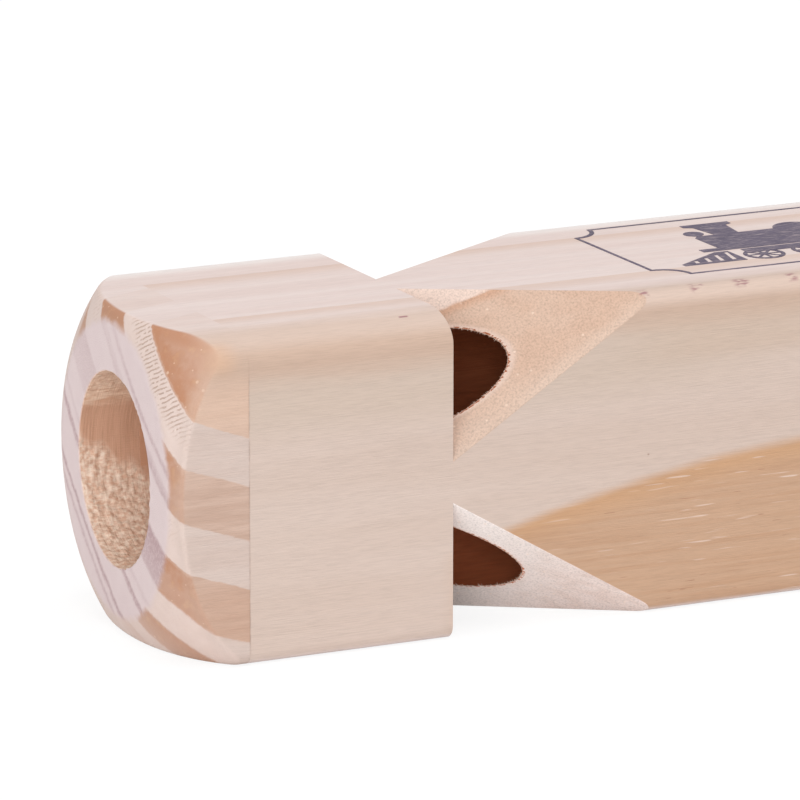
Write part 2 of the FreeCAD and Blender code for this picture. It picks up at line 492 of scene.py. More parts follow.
def bored_walls(place, x, y, z):
    """The colour of the walls of the pipes and of the wind chamber, and where they are.

    The bit broke some fibres away at the windows, so the dark of a pipe ends in a ragged line.
    """
    char = streaks(place, 3.0, 0.4, 3.0, 8.0)
    upper = blend(char, seen(176, 102, 66), seen(140, 76, 46))
    lower = blend(char, seen(206, 124, 84), seen(168, 94, 60))
    # Painted light: next to the wind chamber, the pipe walls are painted pale instead of scorched
    # brown, to lift their deep shade.
    burnt_walls_and_lit_fronts = blend(step(x, 7.0, 17.0), seen(250, 226, 202), blend(step(z, 2.0, -2.0), upper, lower))
    chamber = step(distance(y, z, 0.0, AXIS_LIFT), MOUTH_RADIUS + 0.12, MOUTH_RADIUS + 0.06) * step(
        x, CHAMBER_DEPTH + 0.4, CHAMBER_DEPTH + 0.2)
    crumbs = step(z + x * 0.66, -2.6, -4.2)
    wall = blend(crumbs, seen(214, 164, 134), seen(240, 210, 188))
    broken = step(streaks(place, 1.6, 0.22, 1.0, 41.0), 0.48, 0.56) * 0.1
    pipes = step(from_pipes(y, z) - broken, 0.03, 0.015)
    return blend(chamber, burnt_walls_and_lit_fronts, wall), larger(pipes, chamber * step(x, -0.5, 0.02))


print(len(SMEARS), "smears and a nick at x", NICK[0])

# %% [markdown]
# The faces are now put together, each through its own mask: first the long faces, then the cut ends
# and the bruised lips of the windows, then the bored walls, and last the stains on top of all.

# %% Put the stick's finish together
def stick_finish():
    """Raw pine, face by face."""
    finish, place = new_finish("body_pine")
    x, y, z = axes(place)
    late = stick_rings(place, x, y, z)
    colour = blend(late * 0.52, spring_wood_and_lit_edge(place, y, z), seen(220, 191, 174))
    colour = blend(step(y, -18.2, -18.85), colour, near_side(place, x, z))
    colour = fibre_tone(place, tan_and_shaded_edge(place, colour, x, y, z))
    pale = pale_slope(place)
    ringed = blend(late * 0.6, pale, seen(212, 178, 154))
    # Painted light: the near bottom slope is made lighter towards the head, to lift the shade near
    # the floor at its low end.
    lit_near_bottom_slope = blend(step(x, 44.0, 28.0), pale, seen(247, 238, 234))
    ends = {"near_top": orange_slope(place, x, y, z), "near_bottom": lit_near_bottom_slope,
            "far_top": ringed, "far_bottom": ringed}
    back = step(x, BODY_LENGTH - 0.6, BODY_LENGTH - 0.15)
    colour = blend(back, colour, end_specks(place, ringed))
    cut = back
    for name, notch in NOTCHES.items():
        slope = on_slope(x, y, z, notch)
        cut = larger(cut, slope)
        colour = blend(slope, colour, end_specks(place, ends[name]))
    lip = step(from_pipes(y, z), 0.5, 0.1) * cut * (1.0 - back)
    colour = blend(lip * 0.35, colour, seen(238, 220, 212))
    walls, pipes = bored_walls(place, x, y, z)
    colour = blend(pipes, colour, walls)
    colour = blend(smear_mask(place, x, y, z) * 0.7, colour, seen(150, 92, 104))
    colour = blend(glue_stain(place, x, z) * (1.0 - pipes), colour, seen(150, 122, 108))
    height = streaks(place, 9.0, 0.14, 3.0, 1.0) * (1.0 - cut) + cut * streaks(place, 0.4, 0.25)
    return close_finish(finish, colour, height, 0.62, 0.00004)


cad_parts["body_block"].data.materials.clear()
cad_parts["body_block"].data.materials.append(stick_finish())

# %% [markdown]
# ## The mouthpiece
# The block was glued on square and then turned, so its front is a solid of revolution cut out of a
# square bar: a flat rim, a bevel that is an arc, and square sides where the bevel runs out. A
# lattice of rings and spokes follows that rule exactly. Each spoke runs up the side, over the bevel
# and the rim and down the wall of the blowing hole, and closes behind. The lattice is fine enough
# to carry torn grain as real shape.

# %% The stick's outline as spokes
SPOKES = 520
CORNER_ROUNDS = [(1, 1, 3.2, 3.2), (-1, 1, 6.2, 3.4), (-1, -1, 1.7, 1.7), (1, -1, 2.4, 2.4)]


def outline_spokes():
    """Evenly spaced points of the section's outline, anticlockwise, each an across and an up."""
    turns = np.linspace(0.0, math.pi / 2, 60)
    line = []
    for quarter, (across, up, wide, tall) in enumerate(CORNER_ROUNDS):
        angle = turns + quarter * math.pi / 2
        line.append(np.stack([across * (HALF - wide) + wide * np.cos(angle),
                              up * (HALF - tall) + tall * np.sin(angle)], 1))
    line = np.concatenate(line + [line[0][:1]])
    along = np.concatenate([[0.0], np.cumsum(np.linalg.norm(np.diff(line, axis=0), axis=1))])
    even = np.linspace(0.0, along[-1], SPOKES, endpoint=False)
    return np.stack([np.interp(even, along, line[:, i]) for i in range(2)], 1)


outline = outline_spokes()
print("outline of", SPOKES, "spokes, furthest", round(np.abs(outline).max(), 2), "mm")

# %% [markdown]
# The lathe's axis leans a little, so the rim is set back at the far side. To find the front surface
# at a point of the section, its distance from the leaning axis gives the depth of the profile, and
# a few repeats settle the small lean.

# %% The turned front
FACE_DEPTH = 8.25
FACE_LEAN = math.radians(2.9)
RIM_RADIUS = HALF - 2.0
BEVEL_CENTRE = (11.25, 15.9)
BEVEL_RADIUS = 16.908
BEVEL_END = 25.5


def profile_depth(radius):
    """Depth of the turned front behind its rim at a distance from the axis, in millimetres."""
    reach = np.clip(radius, RIM_RADIUS, BEVEL_END)
    arc = BEVEL_CENTRE[1] - np.sqrt(BEVEL_RADIUS ** 2 - (reach - BEVEL_CENTRE[0]) ** 2)
    past = np.clip(radius - BEVEL_END, 0.0, None) * 1.57
    softened = 0.113 * np.clip(radius - RIM_RADIUS + 0.8, 0.0, 1.3) ** 2
    return np.maximum(np.maximum(arc, 0.0) + past, softened * (radius < RIM_RADIUS + 0.5))


def front_x(across, up):
    """Where the turned front lies over a point of the section."""
    rise = up - AXIS_LIFT
    x = np.full_like(across, -FACE_DEPTH)
    for _ in range(8):
        level = math.sin(FACE_LEAN) * (x + FACE_DEPTH) + math.cos(FACE_LEAN) * across
        depth = profile_depth(np.hypot(level, rise))
        x = -FACE_DEPTH + (depth + math.sin(FACE_LEAN) * across) / math.cos(FACE_LEAN)
    return x


near_rim = front_x(np.array([-RIM_RADIUS]), np.array([AXIS_LIFT]))
print("front at the near rim", round(float(near_rim[0]), 2))

# %% [markdown]
# The rows of the lattice follow each spoke from the joint round to the joint again. Sanding has
# eased the edges: half a millimetre where the bevel runs out on the side, a tenth at the rim of the
# hole, and so little at the joint that only a hair-fine groove shows the glue line. The groove is
# sanded away on the top.

# %% Rows of the lattice
EASED = 0.5


def lattice_rows():
    """Each row is one ring of points with its share of hole wall."""
    centre = np.array([0.0, AXIS_LIFT])
    spoke = outline - centre
    reach = np.linalg.norm(spoke, axis=1)
    aim = spoke / reach[:, None]

    def ring(radius, x=None, wall=0.0):
        flat = centre + aim * np.broadcast_to(radius, reach.shape)[:, None]
        depth = front_x(flat[:, 0], flat[:, 1]) if x is None else np.broadcast_to(x, reach.shape)
        return np.column_stack([depth, flat]), wall

    side_front = front_x(outline[:, 0], outline[:, 1])
    inner_front = front_x(*(centre + aim * (reach - EASED)[:, None]).T)
    groove = 0.02 * np.clip((17.5 - outline[:, 1]) / 4.5, 0.05, 1.0)
    rows = [ring(reach - groove, -0.004), ring(reach - groove * 0.3, -0.015), ring(reach, -0.04)]
    rows += [ring(reach, -0.04 + (side_front + EASED + 0.04) * t)
             for t in np.linspace(0.08, 0.96, 11)]
    rows += [ring(reach - EASED * t ** 2, (1 - t) ** 2 * (side_front + EASED)
                  + 2 * t * (1 - t) * side_front + t ** 2 * inner_front)
             for t in (0.0, 0.25, 0.5, 0.75, 1.0)]
    rows += [ring(reach - EASED + (MOUTH_RADIUS + 0.2 - reach + EASED) * t)
             for t in np.linspace(0.02, 1.0, 52)]
    lip = front_x(*(centre + aim * MOUTH_RADIUS).T)
    rows += [ring(MOUTH_RADIUS + 0.05, lip + 0.04, 0.3), ring(MOUTH_RADIUS, lip + 0.16, 1.0)]
    rows += [ring(MOUTH_RADIUS, lip + 0.16 + (-0.01 - lip - 0.16) * t, 1.0)
             for t in np.linspace(0.018, 1.0, 56)]
    rows += [ring(MOUTH_RADIUS + (reach - 0.1 - MOUTH_RADIUS) * 0.5, -0.01)]
    return rows


rows = lattice_rows()
print(len(rows), "rows of", SPOKES, "points")

# %% [markdown]
# The bit tore the grain of the hole unevenly. The upper part shows long fibres, the middle is
# smooth and burnished, and the lower part crumbled. Three numbers on every point of the lattice say
# how much of each there is, and a fourth says how far the surface faces forward. Both the shape
# and the finish read them.

# %% Make the lattice
def crumb_share(place):
    """How far the wall of the hole is crumbled at each point, below a wavy slanting edge."""
    edge = 2.2 - 0.66 * (place[:, 0] + FACE_DEPTH) - 0.5 * np.sin(place[:, 0] * 1.7)
    return np.clip((edge - place[:, 2]) / 1.6 + 0.5, 0.0, 1.0)


def set_marks(mesh, marks):
    """Writes numbers on the points of a mesh."""
    for name, values in marks.items():
        layer = mesh.attributes.new(name, "FLOAT", "POINT")
        layer.data.foreach_set("value", values.astype(np.float32))


def lattice_mesh():
    """The mouthpiece block as one closed mesh, with its marks as point attributes."""
    place = np.concatenate([row[0] for row in rows])
    wall = np.repeat([row[1] for row in rows], SPOKES)
    ring = np.arange(len(rows))[:, None] * SPOKES
    spoke = np.arange(SPOKES)[None, :]
    following = (np.arange(len(rows)) + 1) % len(rows)
    beside = (spoke + 1) % SPOKES
    quads = np.stack([ring + spoke, ring + beside, following[:, None] * SPOKES + beside,
                      following[:, None] * SPOKES + spoke], -1).reshape(-1, 4)
    mesh = bpy.data.meshes.new("mouthpiece_lattice")
    mesh.from_pydata(in_frame(place).tolist(), [], quads.tolist())
    mesh.update()
    crumbled = crumb_share(place) + 0.4 * np.clip((place[:, 2] - 6.0) / 2.0, 0.0, 1.0)
    fibrous = np.clip((place[:, 2] - 5.0) / 1.5, 0.0, 1.0)
    normals = np.empty(len(place) * 3)
    mesh.vertices.foreach_get("normal", normals)
    set_marks(mesh, {"hole_wall": wall, "crumbled": crumbled * (wall > 0.2),
                     "fibrous": fibrous * (wall > 0.2),
                     "facing": np.abs(normals.reshape(-1, 3)[:, 0])})
    return mesh


def enclosed(mesh):
    """Volume of a closed mesh in cubic millimetres, above 0 where its faces point outwards."""
    return sum(face.area * face.normal.dot(face.center) for face in mesh.polygons) / 3.0 / MM ** 3


mouthpiece = into_scene("turned_mouthpiece", lattice_mesh())
if enclosed(mouthpiece.data) < 0.0:
    mouthpiece.data.flip_normals()
print("lattice of", len(mouthpiece.data.polygons), "faces round",
      round(enclosed(mouthpiece.data)), "cubic mm")

# %% [markdown]
# The mouthpiece was cut from another board, whose rings are nearly flat here. A point's distance
# from their far-off middle tells how much late wood it holds. The same late wood looks different on
# each surface: tan bands on the side, orange patches on the bevel where the cutter crossed it at a
# slant, and only thin mauve lines on the cut end in front. A band starts, ends and has a strength
# at both, and a ramp holds all the bands.

# %% Marks of the mouthpiece's rings
MOUTHPIECE_PITH = (-52.0, 62.0)
RING_LEAN = 0.32
LATE_BANDS = [(52.0, 61.2, 0.4, 1.0), (66.3, 71.8, 0.9, 0.7), (77.1, 82.6, 1.0, 0.5),
              (86.8, 90.2, 0.5, 0.35), (92.1, 94.6, 0.2, 0.1), (98.5, 102.5, 0.6, 0.4)]
FACE_LINES = [(68.4, 69.1, 0.55, 0.5), (70.4, 71.8, 0.3, 0.6), (77.2, 82.3, 0.85, 0.55),
              (85.8, 86.4, 0.2, 0.2), (87.8, 88.7, 0.8, 0.6), (93.1, 93.7, 0.9, 0.8),
              (94.6, 95.2, 0.55, 0.5)]


def mark(place, name):
    """A number that the lattice carries."""
    return place.node("ShaderNodeAttribute", {"attribute_name": name}, output="Fac")


def ring_radius(place, x, y, z):
    """Distance of a point from the middle of the rings, which lean a little along the block."""
    wander = (streaks(place, 14.0, 7.0, 2.0, 2.0) - 0.5) * 0.8
    ragged = (streaks(place, 1.4, 0.5, 2.0, 31.0) - 0.5) * 0.4
    return distance(y, z, *MOUTHPIECE_PITH) - (x + 7.3) * RING_LEAN + wander + ragged


def banded(radius, bands):
    """Strength of the band in which a radius lies, or 0 between bands."""
    nearest, span = 50.0, 55.0
    stops = []
    for start, end, at_start, at_end in bands:
        stops += [(start - 0.25, 0.0), (start + 0.25, at_start),
                  (end - 0.25, at_end), (end + 0.2, 0.0)]
    stops = [((place - nearest) / span, grey) for place, grey in stops]
    return radius.node("ShaderNodeValToRGB", {"stops": stops}, {0: (radius - nearest) / span})


def comb_marks(place, radius, y, z):
    """Chatter of the turning tool beside a late band: short fine marks, side by side."""
    along = y * 0.5 + z * 0.866 + (streaks(place, 1.6, 1.3, 2.0, 6.0) - 0.5) * 0.45
    tooth = along.maths("FRACT", along / 0.52 + 40.0)
    strong = step(radius, 61.3, 61.6) * step(radius, 65.0, 63.2)
    faint = step(radius, 72.2, 72.6) * step(radius, 75.5, 73.5) * 0.3
    broken = step(streaks(place, 0.9, 0.7, 1.0, 15.0), 0.36, 0.5)
    return step(tooth, 0.06, 0.2) * step(tooth, 0.52, 0.36) * (strong + faint) * broken


print("rings meet the near side at z", [round(MOUTHPIECE_PITH[1] - math.sqrt(
    edge ** 2 - (HALF + MOUTHPIECE_PITH[0]) ** 2), 1) for _, edge, _, _ in LATE_BANDS[:4]])

# %% [markdown]
# The side, the bevel, the cut end in front and the wall of the hole each get a small function. The
# bevel is the liveliest of them: the cutter bruised the late wood there, so it has cream specks,
# streaks from the lathe and a comb of short chatter marks.

# %% Surfaces of the mouthpiece
def mouthpiece_side(place, late, x, y, z):
    """Tan bands on pale wood, which fade out across the top, and a warm sanded corner."""
    pale = blend(step(streaks(place, 30.0, 2.0, 2.0, 3.0), 0.3, 0.7),
                 seen(213, 195, 186), seen(208, 188, 178))
    pale = blend(step(z, 17.6, 18.8), pale, spring_wood_and_lit_edge(place, y, z))
    tan = blend(step(streaks(place, 12.0, 1.1, 3.0, 4.0), 0.3, 0.7),
                seen(209, 181, 165), seen(196, 166, 149))
    tan = blend(step(z, 4.0, 11.0) * 0.7, tan, seen(221, 190, 169))
    tan = blend(step(z, -6.0, -12.0) * 0.6, tan, seen(196, 159, 137))
    band = step(late, 0.05, 0.4) * (1.0 - step(z, 17.0, 18.8) * 0.85)
    toned = fibre_tone(place, tan_and_shaded_edge(place, blend(band, pale, tan), x, y, z))
    corner = step(x, -0.3, -3.5) * step(y, -10.5, -13.0) * step(z, 14.0, 16.5)
    return blend(corner * step(z, 18.7, 17.6) * 0.45, toned, seen(219, 176, 142))


def mouthpiece_bevel(place, late, comb, z):
    """Orange patches, darkest at a ring's edge and under the top, on cream wood with comb marks."""
    pale = blend(streaks(place, 2.0, 1.5, 2.0, 5.0), seen(231, 212, 204), seen(224, 202, 192))
    pale = blend(comb * 0.55, pale, seen(172, 136, 112))
    cloud = streaks(place, 2.5, 1.4, 3.0, 18.0)
    dark = larger(step(late + (cloud - 0.5) * 0.5, 0.72, 1.0), step(z, 16.8, 18.4) * 0.8)
    orange = blend(dark, seen(200, 159, 137), seen(190, 137, 106))
    lathe = step(streaks(place, 0.5, 1.3, 3.0, 8.0), 0.35, 0.7)
    orange = blend(lathe * 0.3, orange, seen(190, 146, 122))
    orange = blend(step(cloud, 0.55, 0.75) * 0.3, orange, seen(222, 184, 148))
    speck = larger(step(dots(place, 1.1, 1.2), 0.12, 0.06),
                   step(dots(place, 2.0, 1.2), 0.11, 0.07))
    orange = blend(speck * 0.5, orange, seen(240, 212, 188))
    return blend(step(late, 0.02, 0.55), pale, orange)


def mouthpiece_face(place, radius, y):
    """The cut end: lilac, with the rings as thin mauve lines, faint towards the far top."""
    lilac = blend(streaks(place, 3.0, 2.2, 2.0, 6.0), seen(231, 214, 213), seen(225, 206, 206))
    hatched = step(streaks(place, 2.0, 0.35, 2.0, 19.0), 0.3, 0.6) * 0.4 + 0.6
    line = banded(radius + (streaks(place, 2.0, 1.6, 2.0, 27.0) - 0.5) * 0.7, FACE_LINES)
    faint = step(y, -9.0, 2.0) * step(radius, 85.0, 84.0) * 0.65
    return blend(line * hatched * (1.0 - faint), lilac, seen(180, 147, 150))


def hole_wall(place):
    """Smooth burnished wood with ring marks of the bit, long fibres above, crumbs below."""
    turned = step(streaks(place, 0.5, 6.0, 2.0, 3.0), 0.35, 0.7)
    smooth = blend(turned, seen(222, 178, 151), seen(211, 166, 139))
    fibres = blend(step(streaks(place, 2.4, 0.4, 3.0, 5.0), 0.35, 0.65),
                   seen(250, 222, 198), seen(222, 180, 152))
    crumbs = blend(step(streaks(place, 0.7, 0.45, 3.0, 9.0), 0.3, 0.7),
                   seen(226, 186, 160), seen(252, 232, 214))
    wall = blend(mark(place, "fibrous"), smooth, fibres)
    return blend(mark(place, "crumbled"), wall, crumbs)


print("surfaces of the mouthpiece are ready")

# %% [markdown]
# One finish joins the four surfaces. The mark `facing` is 0 on the side and more on the bevel, so
# it chooses between these two, and the bevel's colours fade where it runs out at the near edge. The
# flat rim ends at a known distance from the axis, where sanding has made the change of colour soft.

# %% Put the mouthpiece's finish together
def mouthpiece_finish():
    """Pine with tan rings, surface by surface."""
    finish, place = new_finish("mouthpiece_pine")
    x, y, z = axes(place)
    radius = ring_radius(place, x, y, z)
    late = banded(radius, LATE_BANDS) * (1.0 - step(y, 8.0, 13.0) * 0.85)
    wall = mark(place, "hole_wall")
    near_edge = step(y + (streaks(place, 2.0, 1.5, 2.0, 37.0) - 0.5) * 1.5, -16.9, -18.8)
    run_out = step(x, -5.8, -3.2) * step(z, 11.5, 15.0)
    on_bevel = step(mark(place, "facing"), 0.04, 0.5) * (1.0 - near_edge * 0.5) * (
        1.0 - run_out * 0.5)
    uneven = (streaks(place, 2.0, 1.5, 2.0, 33.0) - 0.5) * 1.2
    flat = step(distance(y, z, 0.0, AXIS_LIFT) + uneven, RIM_RADIUS + 0.7, RIM_RADIUS - 0.5)
    comb = comb_marks(place, radius, y, z) * on_bevel * (1.0 - flat)
    colour = blend(on_bevel, mouthpiece_side(place, late, x, y, z),
                   mouthpiece_bevel(place, late, comb, z))
    colour = blend(flat, colour, mouthpiece_face(place, radius, y))
    colour = blend(wall, colour, hole_wall(place))
    colour = blend(glue_stain(place, x, z) * (1.0 - wall), colour, seen(150, 122, 108))
    height = streaks(place, 9.0, 0.14, 3.0, 1.0) - comb
    height = height + wall * streaks(place, 0.22, 5.0, 2.0, 3.0)
    return close_finish(finish, colour, height, 0.62, 0.00006)


mouthpiece_pine = mouthpiece_finish()

# %% [markdown]
# ## Recipes of Geometry Nodes
# What repeats on the whistle or follows a rule is made by Geometry Nodes. Each tree is a recipe
# with named inputs. One helper starts a recipe, one ends it in real geometry with its material, and
# one runs it on a piece and keeps the result as a plain mesh, because the export knows only such.

# %% Start, end and follow a recipe
def new_recipe(name, inputs):
    """An empty tree with named inputs, and a Flow on each of them."""
    tree = bpy.data.node_groups.new(name, "GeometryNodeTree")
    tree.interface.new_socket("Geometry", in_out="OUTPUT", socket_type="NodeSocketGeometry")
    tree.interface.new_socket("Geometry", in_out="INPUT", socket_type="NodeSocketGeometry")
    for label, kind in inputs.items():
        tree.interface.new_socket(label, in_out="INPUT", socket_type=kind)
    entry = tree.nodes.new("NodeGroupInput")
    return tree, {socket.name: Flow(tree, socket) for socket in entry.outputs if socket.name}


def end_recipe(geometry, material):
    """Ends a tree in real, finished geometry."""
    real = geometry.node("GeometryNodeRealizeInstances", {}, {0: geometry})
    done = real.node("GeometryNodeSetMaterial", {}, {"Geometry": real, "Material": material})
    done.node("NodeGroupOutput", {}, {0: done})


def follow_recipe(piece, tree, values):
    """Runs a tree on a piece and keeps the result as its plain mesh."""
    modifier = piece.modifiers.new(tree.name, "NODES")
    modifier.node_group = tree
    for item in tree.interface.items_tree:
        if item.in_out == "INPUT" and item.name in values:
            modifier[item.identifier] = values[item.name]
    shown = piece.evaluated_get(bpy.context.evaluated_depsgraph_get())
    mesh = bpy.data.meshes.new_from_object(shown)
    piece.modifiers.remove(modifier)
    piece.data = mesh
    print(piece.name, "has", len(mesh.polygons), "faces")
    return piece


print("recipes can be made")

# %% [markdown]
# ## Torn grain
# The crumbs and fibres in the hole are real shape. The first recipe moves each point of the lattice
# along its normal: lumps where the wall crumbled, long ridges where it is fibrous, and fine tool
# marks elsewhere. Depth, lump size and seed are named inputs, so that another block can be torn
# otherwise.

# %% Tear the grain of the blowing hole
def torn_grain_recipe():
    """Lumps and ridges along the normal, by the marks of the lattice."""
    tree, given = new_recipe("torn_grain", {
        "Lump Depth": "NodeSocketFloat", "Lump Size": "NodeSocketFloat",
        "Fibre Depth": "NodeSocketFloat", "Seed": "NodeSocketFloat",
        "Material": "NodeSocketMaterial"})
    start = given["Geometry"]
    place = start.node("GeometryNodeInputPosition")
    crumbled, fibrous, wall = [
        start.node("GeometryNodeInputNamedAttribute", {"data_type": "FLOAT"}, {"Name": name})
        for name in ("crumbled", "fibrous", "hole_wall")]
    scale = 1.0 / given["Lump Size"]
    lumps = start.node("ShaderNodeTexNoise", {"noise_dimensions": "4D"}, {
        "Vector": place, "W": given["Seed"], "Scale": scale, "Detail": 3.0, "Roughness": 0.65})
    cells = start.node("ShaderNodeTexVoronoi", {"voronoi_dimensions": "4D"}, {
        "Vector": place, "W": given["Seed"], "Scale": scale * 1.2})
    drawn = start.node("ShaderNodeVectorMath", {"operation": "MULTIPLY"},
                       {0: place, 1: (350.0, 2600.0, 2600.0)})
    fibres = start.node("ShaderNodeTexNoise", {"noise_dimensions": "4D"}, {
        "Vector": drawn, "W": given["Seed"], "Scale": 1.0, "Detail": 2.0})
    torn = (lumps * 1.3 - cells * 0.7 - 0.35) * crumbled * given["Lump Depth"]
    ridges = (fibres - 0.5) * (fibrous + wall * 0.15) * given["Fibre Depth"]
    normal = start.node("GeometryNodeInputNormal")
    shift = start.node("ShaderNodeVectorMath", {"operation": "SCALE"},
                       {0: normal, "Scale": torn + ridges})
    moved = start.node("GeometryNodeSetPosition", {}, {"Geometry": start, "Offset": shift})
    end_recipe(moved, given["Material"])
    return tree


torn_grain = torn_grain_recipe()
tearing = {"Lump Depth": 0.42 * MM, "Lump Size": 1.0 * MM, "Fibre Depth": 0.3 * MM,
           "Seed": 3.0, "Material": mouthpiece_pine}
follow_recipe(mouthpiece, torn_grain, tearing)
mouthpiece.data.shade_smooth()
mouthpiece.data.set_sharp_from_angle(angle=math.radians(50))
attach(mouthpiece, "root")
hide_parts("mouthpiece_block")

# %% [markdown]
# Where the blowing hole crumbled, its wall doesn't end cleanly at the joint. A thin ragged flap of
# it hangs over the mouth of the far bottom pipe. The flap is a small lattice of its own, closed all
# round, and the same recipe tears it like the wall that it carries on.

# %% Hang a torn flap at the inner end of the blowing hole
FLAP_TURNS = (-58.0, -11.0)
FLAP_REACH = 2.3
FLAP_THICKNESS = 0.4


def flap_mesh(columns=110, steps=22):
    """A curved patch that carries on the wall of the hole, with its marks as point attributes."""
    turn = np.radians(np.linspace(*FLAP_TURNS, columns))[:, None]
    ragged = np.random.default_rng(5).normal(0.0, 0.1, (columns, 1))
    bulge = np.sin(np.linspace(0.1, math.pi - 0.1, columns))[:, None] ** 0.3
    out = np.linspace(0.0, 1.0, steps)
    there_and_back = np.concatenate([out, out[::-1]])[None, :]
    along = there_and_back * (FLAP_REACH * bulge + ragged + 0.15) - 0.15
    behind = np.arange(2 * steps)[None, :] >= steps
    radius = MOUTH_RADIUS + 0.02 + FLAP_THICKNESS * behind
    place = np.stack([along, radius * np.cos(turn), AXIS_LIFT + radius * np.sin(turn)], 2)
    place = place.reshape(-1, 3)
    loop = 2 * steps
    quads = [(c * loop + i, c * loop + (i + 1) % loop, (c + 1) * loop + (i + 1) % loop,
              (c + 1) * loop + i) for c in range(columns - 1) for i in range(loop)]
    caps = [tuple(range(loop))[::-1], tuple(range((columns - 1) * loop, columns * loop))]
    mesh = bpy.data.meshes.new("torn_flap")
    mesh.from_pydata(in_frame(place).tolist(), [], quads + caps)
    every, none = np.ones(len(place)), np.zeros(len(place))
    set_marks(mesh, {"hole_wall": every, "crumbled": crumb_share(place),
                     "fibrous": none, "facing": none})
    return mesh


flap = into_scene("torn_flap", flap_mesh())
follow_recipe(flap, torn_grain, tearing)
flap.data.shade_smooth()
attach(flap, "root")
print("flap round", round(enclosed(flap.data), 1), "cubic mm")

# %% [markdown]
# ## Dowel plugs
# Each pipe holds a short dowel, turned from pale wood and pushed in flush with the saw cut. Its
# shape in the frame is right, so it only gets a finish: fibres along it and cut ends on its faces.

# %% Finish the plugs
PLUG_START = 10.0


def plug_finish():
    """Pale dowel, with darker cut ends."""
    finish, place = new_finish("plug_dowel")
    x = axes(place)[0]
    side = fibre_tone(place, blend(streaks(place, 20.0, 1.5), seen(214, 190, 168),
                                   seen(200, 170, 144)), 0.14)
    ends = end_specks(place, blend(streaks(place, 2.0, 1.2), seen(206, 176, 150),
                                   seen(190, 156, 128)), 0.22)
    at_end = larger(step(x, HEAD - 0.1, HEAD - 0.04),
                    step(x, PLUG_START + 0.1, PLUG_START + 0.04))
    return close_finish(finish, blend(at_end, side, ends), streaks(place, 5.0, 0.2), 0.65)


plug_dowel = plug_finish()
for name in NOTCHES:
    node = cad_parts["fipple_plug_" + name]
    node.data.materials.clear()
    node.data.materials.append(plug_dowel)

# %% [markdown]
# ## Splinters at the windows
# Where a slope meets its pipe the wood ends in a thin lip, and the saw left short broken fibres on
# it. The lip's line is known: the pipe's circle gives across and up, and the slope gives how far
# along.

# %% Lips of the windows
def lip_line(name):
    """Points of one window's lip and, for each, the direction into the opening."""
    notch = NOTCHES[name]
    across, up = PIPES[name]
    turn = np.linspace(0.0, 2.0 * math.pi, 1400, endpoint=False)
    y = across + PIPE_RADIUS * np.cos(turn)
    z = up + PIPE_RADIUS * np.sin(turn)
    a, u = notch["reach"]
    x = HEAD + notch["slope"] * (
        1.0 - (HALF - y * notch["across"]) / a - (HALF - z * notch["up"]) / u)
    inward = np.stack([np.full_like(y, -0.55), across - y, up - z], 1)
    inward[:, 1:] /= PIPE_RADIUS
    behind = x > HEAD + 0.05
    return np.stack([x, y, z], 1)[behind], inward[behind]


lips = {name: lip_line(name) for name in NOTCHES}
print({name: len(line[0]) for name, line in lips.items()}, "points on the lips")

# %% [markdown]
# The next recipe sets a slim cone at every point of a lip, turned into the opening, with a random
# lean. Its length is random too, raised to a power, so that most splinters stay short.

# %% Grow the splinters
def splinter_recipe():
    """A small splinter on each point, of random length and lean."""
    tree, given = new_recipe("lip_splinters", {
        "Longest": "NodeSocketFloat", "Rarity": "NodeSocketFloat", "Thickness": "NodeSocketFloat",
        "Seed": "NodeSocketInt", "Material": "NodeSocketMaterial"})
    start = given["Geometry"]
    cone = start.node("GeometryNodeMeshCone", {}, {
        "Vertices": 4, "Radius Top": 0.12, "Radius Bottom": 1.0, "Depth": 1.0})
    into = start.node("GeometryNodeInputNamedAttribute", {"data_type": "FLOAT_VECTOR"},
                      {"Name": "into_opening"})
    lean = start.node("FunctionNodeRandomValue", {"data_type": "FLOAT_VECTOR"}, {
        0: (-0.5, -0.5, -0.5), 1: (0.5, 0.5, 0.5), "Seed": given["Seed"]})
    aim = start.node("ShaderNodeVectorMath", {"operation": "ADD"}, {0: into, 1: lean})
    turn = start.node("FunctionNodeAlignRotationToVector", {"axis": "Z"}, {"Vector": aim})
    chance = start.node("FunctionNodeRandomValue", {"data_type": "FLOAT"}, {
        2: 0.0, 3: 1.0, "Seed": given["Seed"] + 1.0}, output=1)
    long = chance.maths("POWER", chance, given["Rarity"]) + 0.1
    length = long * given["Longest"]
    size = start.node("ShaderNodeCombineXYZ", {}, {
        0: given["Thickness"], 1: given["Thickness"], 2: length})
    grown = start.node("GeometryNodeInstanceOnPoints", {}, {
        "Points": start, "Instance": cone, "Rotation": turn, "Scale": size})
    end_recipe(grown, given["Material"])
    return tree


def grow_splinters(name, points, inward):
    """Splinters on one line of points, as a piece of its own."""
    mesh = bpy.data.meshes.new(name)
    mesh.from_pydata(in_frame(points).tolist(), [], [])
    layer = mesh.attributes.new("into_opening", "FLOAT_VECTOR", "POINT")
    layer.data.foreach_set("vector", inward.astype(np.float32).ravel())
    piece = into_scene(name, mesh)
    follow_recipe(piece, splinter_tree, {
        "Longest": 0.35 * MM, "Rarity": 6.0, "Thickness": 0.05 * MM,
        "Seed": len(name), "Material": broken_fibres})
    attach(piece, "root")


def splinter_finish():
    """Pale broken fibres."""
    finish, place = new_finish("broken_fibres")
    colour = blend(streaks(place, 0.6, 0.3), seen(236, 214, 200), seen(208, 178, 158))
    return close_finish(finish, colour, streaks(place, 1.0, 0.1), 0.7, 0.00003)


splinter_tree = splinter_recipe()
broken_fibres = splinter_finish()
for name, (points, inward) in lips.items():
    grow_splinters("splinters_" + name, points, inward)

# %% [markdown]
# ## The stamped engine
# A steam engine in a notched ticket border is stamped on the top in dark ink. The design is a plain
# old-time engine of the usual kind. Flat closed outlines make the ink, because the edge of a stamp
# is crisp: they are filled curves, a few hundredths of a millimetre thick, laid on the wood.

# %% Ink from outlines
INK_TOP = HALF + 0.03


